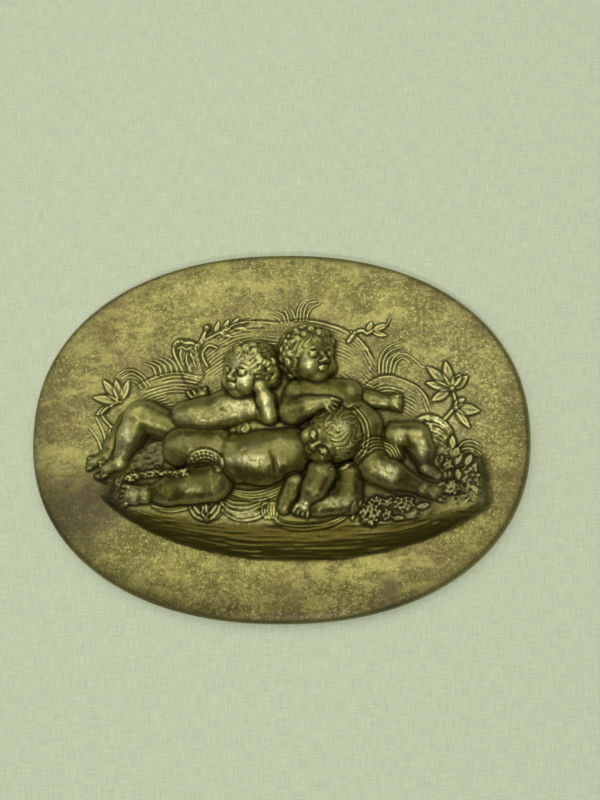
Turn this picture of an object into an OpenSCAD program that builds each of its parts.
// Oval relief plaque: a thin hollow-backed brass shell with three reclining putti in a
// landscape, hung from a D-ring on a bar that is screwed to two bosses soldered on its back.
// It lies face up on the turned-down edge of its border. +Z is the face, +Y is the top.

/* [Plaque] */
// Width of the plaque
plaque_w = 300; // [260:5:340]
// Height of the plaque, as a share of its width
plaque_ratio = 0.74; // [0.70:0.01:0.80]
// Squareness of the oval outline, where 2 is an ellipse
outline_power = 2.2; // [2.0:0.1:2.6]
// Thickness of the metal in the border and field
wall = 2; // [1.6:0.1:2.4]
// Height of the flat field above the wall that the plaque hangs on
field_z = 10; // [10:0.5:12]
// Height of the soft ridge round the border, above the field
ridge = 0.7; // [0:0.1:1.5]
// Fall of the border from that ridge to where it turns down
border_fall = 1.4; // [0.5:0.1:2]
// Share of the half width at which the border turns down
turn_start = 0.972; // [0.95:0.002:0.98]
// Height at which the turned-down border meets its straight edge
edge_z = 2.6; // [2:0.1:4]

/* [Relief] */
// Height of the ground at the foot of the scene, above the field
ground_rise = 10; // [6:0.5:12]
// Thickness of the metal in the figures
relief_wall = 3; // [2.5:0.1:4]

/* [Hanger] */
// Distance of the hanger bar above the middle, as a share of the half height
hanger_up = 0.65; // [0.60:0.01:0.68]
// Length of the hanger bar
bar_len = 80; // [70:1:90]
// Width of the hanger bar
bar_w = 14; // [12:1:16]
// Thickness of the hanger bar
bar_t = 1.6; // [1.2:0.1:1.8]
// Distance between the two screws
screw_span = 64; // [58:1:66]
// Radius of the screws
screw_r = 2; // [1.5:0.1:2.2]
// Thickness of the D-ring's wire
wire_d = 2.4; // [2:0.1:2.6]
// Radius of the D-ring's bow, to the middle of the wire
bow_r = 16; // [14:0.5:18]
// Angle by which the D-ring droops when the plaque lies on a table
droop = 4.5; // [3:0.1:4.8]

/* [Hidden] */
$fn = 48;

half_w = plaque_w / 2;
half_h = half_w * plaque_ratio;
scene_scale = plaque_w / 300;
inner_rings = 20;
inner_share = 0.86;
turn_shares = [0.90, 0.94, 0.972, 0.988, 0.996, 1];
rings = inner_rings + len(turn_shares);
back_share = 1 - wall / half_h;
ridge_start = 0.76;
ridge_top = 0.87;

hanger_y = half_h * hanger_up;
bar_top = 5.6;
bar_bottom = bar_top - bar_t;
washer_t = 0.8;
washer_r = 4.4;
head_t = 2;
head_r = 3.7;
slot_w = 0.9;
slot_depth = 1;
thread_gap = 0.05;
boss_r = 5;
boss_bite = 0.3;
boss_drill = 2.2;
wire_r = wire_d / 2;
pin_gap = 0.3;
wire_z = bar_bottom - pin_gap - wire_r;
saddle_t = 0.8;
saddle_gap = 0.05;
saddle_w = 8;
saddle_reach = 6.4;
rivet_r = 0.9;
rivet_y = 4.4;
rivet_head_r = 1.5;
rivet_head_t = 0.5;
rivet_gap = 0.05;
hole_gap = 0.25;
shank_gap = 0.2;
cut = 1;

BRASS = [0.50, 0.46, 0.24];
DARK_BRASS = [0.36, 0.33, 0.15];
STEEL = [0.55, 0.54, 0.50];

// The figures' bodies and limbs: each is [x, y, z, radius] at one end, then at the other.
FIGURE_LEFT = [
    [[-15, 38, 20, 16], [-19, 35, 21, 14]],
    [[-20, 13, 15, 11], [-54, 8, 13, 11]],
    [[-12, 27, 24, 5], [-4, 9, 18, 5.5]],
    [[-62, 7, 14, 11], [-80, 9, 15, 10]],
    [[-83, 8, 15, 8.5], [-94, -18, 13, 5]],
    [[-95, -20, 12, 4.5], [-103, -23, 11, 3]],
    [[-92, 8, 11, 6], [-100, -12, 11, 4.5]],
    [[-102, -14, 11, 4], [-110, -20, 10, 2.5]]
];
FIGURE_RIGHT = [
    [[19, 46, 20, 16.5], [23, 43, 21, 14]],
    [[20, 23, 13, 10], [44, 23, 13, 9]],
    [[33, 18, 14, 14], [56, -2, 13, 11]],
    [[13, 11, 18, 9], [28, 14, 23, 5]],
    [[28, 14, 23, 5], [34, 15, 24, 4]],
    [[48, 23, 13, 7], [60, 18, 14, 7]],
    [[60, 18, 14, 7], [73, 17, 15, 5.5]],
    [[66, -3, 14, 9], [82, -1, 17, 8.5]],
    [[83, -2, 17, 8.5], [86, -20, 16, 4.5]],
    [[86, -22, 16, 4], [93, -27, 15, 3]],
    [[58, -21, 19, 10], [82, -33, 18, 6.5]],
    [[84, -34, 18, 6], [95, -35, 17, 4.5]]
];
FIGURE_FRONT = [
    [[37, -2, 21, 15], [26, -6, 22, 13]],
    [[-20, -15, 17, 15], [6, -9, 18, 13]],
    [[-34, -10, 19, 11], [-56, -9, 20, 12]],
    [[-60, -12, 17, 9], [-61, -22, 15, 6]],
    [[-37, -32, 22, 12], [-70, -37, 19, 6.5]],
    [[-72, -38, 19, 6], [-85, -37, 18, 5]],
    [[27, -26, 26, 8], [18, -43, 24, 5]],
    [[45, -26, 19, 7], [43, -41, 20, 8]],
    [[43, -42, 20, 8], [14, -46, 19, 5]],
    [[12, -32, 19, 6], [7, -45, 19, 5.5]]
];
// Drapery, fruit and foliage lying on the ground.
GROUND_COVER = [
    [[-48, -15, 20, 6], [-34, -16, 20, 6]],
    [[-45, -44, 18, 6], [-33, -47, 18, 6]],
    [[-20, -42, 17, 5], [0, -46, 18, 6]],
    [[48, -48, 18, 6], [62, -46, 19, 6]],
    [[72, -42, 18, 5], [82, -42, 17, 5]],
    [[96, -20, 13, 8], [110, -26, 12, 7]],
    [[88, 4, 10, 6], [100, -6, 10, 6]],
    [[-82, -29, 15, 6], [-58, -25, 16, 5]]
];
MASSES = concat(FIGURE_LEFT, FIGURE_RIGHT, FIGURE_FRONT, GROUND_COVER);

// The foot of the bank under the scene, and the edge of the ground above it: both are
// parabolas, given by their height in the middle and their rise towards the two ends.
bank_middle_x = 6;
bank_half_len = 100;
bank_end = 1.14;
bank_end_fade = 0.2;
bank_foot_y = -73;
bank_foot_bow = 31;
ground_edge_y = -54;
ground_edge_bow = 13;
ground_back_y = 20;
least_bank = 3;
mound_spread = 1.3;

function unit(v) = min(1, max(0, v));
function smooth(v) = let (u = unit(v)) u * u * (3 - 2 * u);
function signed_power(v, p) = sign(v) * pow(abs(v), p);
function outline(share, angle) = [
    half_w * share * signed_power(cos(angle), 2 / outline_power),
    half_h * share * signed_power(sin(angle), 2 / outline_power)
];

// Front of the border and field, as a function of the share of the way out.
function plate_z(share) =
    let (turn = unit((share - turn_start) / (1 - turn_start)))
    let (crown = field_z + ridge * smooth((share - ridge_start) / (ridge_top - ridge_start)))
    let (past = unit((share - ridge_top) / (1 - ridge_top)))
    let (top = crown - border_fall * past * past)
    edge_z + (top - edge_z) * sqrt(1 - turn * turn);

// Height that the ground adds to the field. It rises towards the bank and falls down it.
function ground_z(x, y) =
    let (u = (x - bank_middle_x) / bank_half_len)
    let (foot = bank_foot_y + bank_foot_bow * u * u)
    let (edge = ground_edge_y + ground_edge_bow * u * u)
    let (rise = smooth((ground_back_y - y) / (ground_back_y - edge)))
    let (fall = smooth((y - foot) / max(edge - foot, least_bank)))
    let (ends = smooth((bank_end - abs(u)) / bank_end_fade))
    ground_rise * rise * fall * ends;

// A limb or body as a rounded mound on the height below it, thinned for the hollow side.
function mound_z(mass, below, thickness, x, y) =
    let (a = mass[0], b = mass[1])
    let (run = [b[0] - a[0], b[1] - a[1]])
    let (t = unit(((x - a[0]) * run[0] + (y - a[1]) * run[1]) / (run * run)))
    let (r = a[3] + (b[3] - a[3]) * t)
    let (reach = r * mound_spread - thickness)
    let (top = a[2] + (b[2] - a[2]) * t + r - thickness)
    let (dx = x - a[0] - run[0] * t, dy = y - a[1] - run[1] * t)
    below + max(0, top - below) * max(0, 1 - (dx * dx + dy * dy) / (reach * reach));

function surface_z(share, x, y, plate_wall, mass_wall) =
    let (sx = x / scene_scale, sy = y / scene_scale)
    let (below = plate_z(share) + ground_z(sx, sy) - plate_wall)
    max([for (mass = MASSES) mound_z(mass, below, mass_wall, sx, sy)]);

// Points lie on square rings, bent to the plaque's outline: step i, j from the middle.
function ring_share(k) = k <= inner_rings ? inner_share * k / inner_rings : turn_shares[k - inner_rings - 1];
function square_angle(i, j) =
    i == 0 && j == 0 ? 0
    : abs(i) >= abs(j) ? (i > 0 ? 0 : 180) + 45 * j / i
    : (j > 0 ? 90 : 270) - 45 * i / j;

function front_point(i, j) =
    let (share = ring_share(max(abs(i), abs(j))))
    let (p = outline(share, square_angle(i, j)))
    [p[0], p[1], surface_z(share, p[0], p[1], 0, 0)];

function back_point(i, j) =
    let (share = ring_share(max(abs(i), abs(j))))
    let (p = outline(share * back_share, square_angle(i, j)))
    [p[0], p[1], surface_z(share, p[0], p[1], wall, relief_wall)];

// The border of the grid, one step at a time, anticlockwise from the lower left corner.
EDGE = concat(
    [for (i = [-rings:rings - 1]) [i, -rings]], [for (j = [-rings:rings - 1]) [rings, j]],
    [for (i = [rings:-1:-rings + 1]) [i, rings]], [for (j = [rings:-1:-rings + 1]) [-rings, j]]
);

// One closed surface: the front, the hollow back, and the straight edge and foot between them.
module relief_shell() {
    side = 2 * rings + 1;
    layer = side * side;
    turns = len(EDGE);
    function at(p) = (p[1] + rings) * side + p[0] + rings;
    function foot(k, ring) = 2 * layer + ring * turns + k % turns;
    edge_points = [for (p = EDGE) outline(1, square_angle(p[0], p[1]))];
    points = concat(
        [for (j = [-rings:rings], i = [-rings:rings]) front_point(i, j)],
        [for (j = [-rings:rings], i = [-rings:rings]) back_point(i, j)],
        [for (p = edge_points) [p[0], p[1], 0]],
        [for (p = edge_points) [p[0] * back_share, p[1] * back_share, 0]]
    );
    // Each cell is cut along the diagonal that runs round the rings, not across them.
    function cell(i, j) = [at([i, j]), at([i + 1, j]), at([i + 1, j + 1]), at([i, j + 1])];
    function halves(c, first) =
        first ? [[c[0], c[2], c[1]], [c[0], c[3], c[2]]] : [[c[0], c[3], c[1]], [c[1], c[3], c[2]]];
    function flipped(t, shift) = [t[0] + shift, t[2] + shift, t[1] + shift];
    front_faces = [
        for (j = [-rings:rings - 1], i = [-rings:rings - 1])
            each halves(cell(i, j), (i + 0.5) * (j + 0.5) > 0)
    ];
    faces = concat(
        front_faces,
        [for (t = front_faces) flipped(t, layer)],
        [for (k = [0:turns - 1])
            let (a = at(EDGE[k]), b = at(EDGE[(k + 1) % turns]))
            each [
                [a, b, foot(k + 1, 0)], [a, foot(k + 1, 0), foot(k, 0)],
                [foot(k, 0), foot(k + 1, 0), foot(k + 1, 1)], [foot(k, 0), foot(k + 1, 1), foot(k, 1)],
                [foot(k, 1), foot(k + 1, 1), b + layer], [foot(k, 1), b + layer, a + layer]
            ]]
    );
    color(BRASS) polyhedron(points, faces, convexity = 12);
}

// A turned boss, soldered to the back of the field and drilled for its screw.
module hanger_boss(side) {
    color(BRASS)
    translate([side * screw_span / 2, hanger_y, bar_top])
    difference() {
        cylinder(r = boss_r, h = field_z - wall - bar_top + boss_bite);
        translate([0, 0, -cut]) cylinder(r = screw_r + thread_gap, h = boss_drill + cut);
    }
}

module hanger_bar() {
    end_r = bar_w / 2;
    color(BRASS)
    translate([0, hanger_y, bar_bottom])
    linear_extrude(bar_t)
    difference() {
        union() {
            square([bar_len - bar_w, bar_w], center = true);
            for (side = [-1, 1]) translate([side * (bar_len / 2 - end_r), 0]) circle(end_r);
        }
        for (side = [-1, 1]) translate([side * screw_span / 2, 0]) circle(screw_r + hole_gap);
        for (side = [-1, 1]) translate([0, side * rivet_y]) circle(rivet_r + rivet_gap);
    }
}

module hanger_washers() {
    color(STEEL)
    for (side = [-1, 1])
        translate([side * screw_span / 2, hanger_y, bar_bottom - washer_t])
        difference() {
            cylinder(r = washer_r, h = washer_t);
            translate([0, 0, -cut]) cylinder(r = screw_r + hole_gap, h = washer_t + 2 * cut);
        }
}

// Slotted cheese-head screws, driven up through the washers and the bar into the bosses.
module hanger_screws() {
    head_z = bar_bottom - washer_t - head_t;
    shank_top = bar_top + boss_drill - shank_gap;
    color(STEEL)
    for (side = [-1, 1])
        translate([side * screw_span / 2, hanger_y, head_z])
        difference() {
            union() {
                cylinder(r = head_r, h = head_t);
                cylinder(r = screw_r, h = shank_top - head_z);
            }
            translate([-head_r - cut, -slot_w / 2, -cut])
                cube([2 * (head_r + cut), slot_w, slot_depth + cut]);
        }
}

// A bent strip that holds the straight side of the D-ring under the bar.
module ring_saddle() {
    inner = wire_r + saddle_gap;
    outer = inner + saddle_t;
    flange_z = bar_bottom - saddle_t;
    color(BRASS)
    translate([0, hanger_y, 0])
    difference() {
        translate([saddle_w / 2, 0, 0])
        rotate([0, -90, 0])
        linear_extrude(saddle_w)
        difference() {
            union() {
                translate([wire_z, 0]) circle(outer);
                translate([wire_z, -outer]) square([bar_bottom - wire_z, 2 * outer]);
                translate([flange_z, -saddle_reach]) square([saddle_t, 2 * saddle_reach]);
            }
            translate([wire_z, 0]) circle(inner);
            translate([wire_z, -inner]) square([bar_bottom - wire_z + cut, 2 * inner]);
            translate([bar_bottom, -outer]) square([outer, 2 * outer]);
        }
        for (side = [-1, 1])
            translate([0, side * rivet_y, flange_z - cut])
            cylinder(r = rivet_r + rivet_gap, h = saddle_t + 2 * cut);
    }
}

// Rivets with a flat head on each side, through the strip's two ends and the bar.
module saddle_rivets() {
    flange_z = bar_bottom - saddle_t;
    color(STEEL)
    for (side = [-1, 1])
        translate([0, hanger_y + side * rivet_y, 0]) {
            translate([0, 0, flange_z - rivet_head_t]) cylinder(r = rivet_head_r, h = rivet_head_t);
            translate([0, 0, flange_z - rivet_head_t / 2])
                cylinder(r = rivet_r, h = bar_top - flange_z + rivet_head_t);
            translate([0, 0, bar_top]) cylinder(r = rivet_head_r, h = rivet_head_t);
        }
}

// The D-ring: a straight pin in the saddle, and a half-round bow.
module d_ring() {
    color(DARK_BRASS)
    translate([0, hanger_y, wire_z])
    rotate([-droop, 0, 0]) {
        translate([-bow_r, 0, 0]) rotate([0, 90, 0]) cylinder(r = wire_r, h = 2 * bow_r);
        rotate_extrude(angle = 180) translate([bow_r, 0]) circle(wire_r);
        for (side = [-1, 1]) translate([side * bow_r, 0, 0]) sphere(wire_r);
    }
}

relief_shell();
hanger_boss(-1);  // hanger_boss_left
hanger_boss(1);  // hanger_boss_right
hanger_bar();
hanger_washers();
hanger_screws();
ring_saddle();
saddle_rivets();
d_ring();
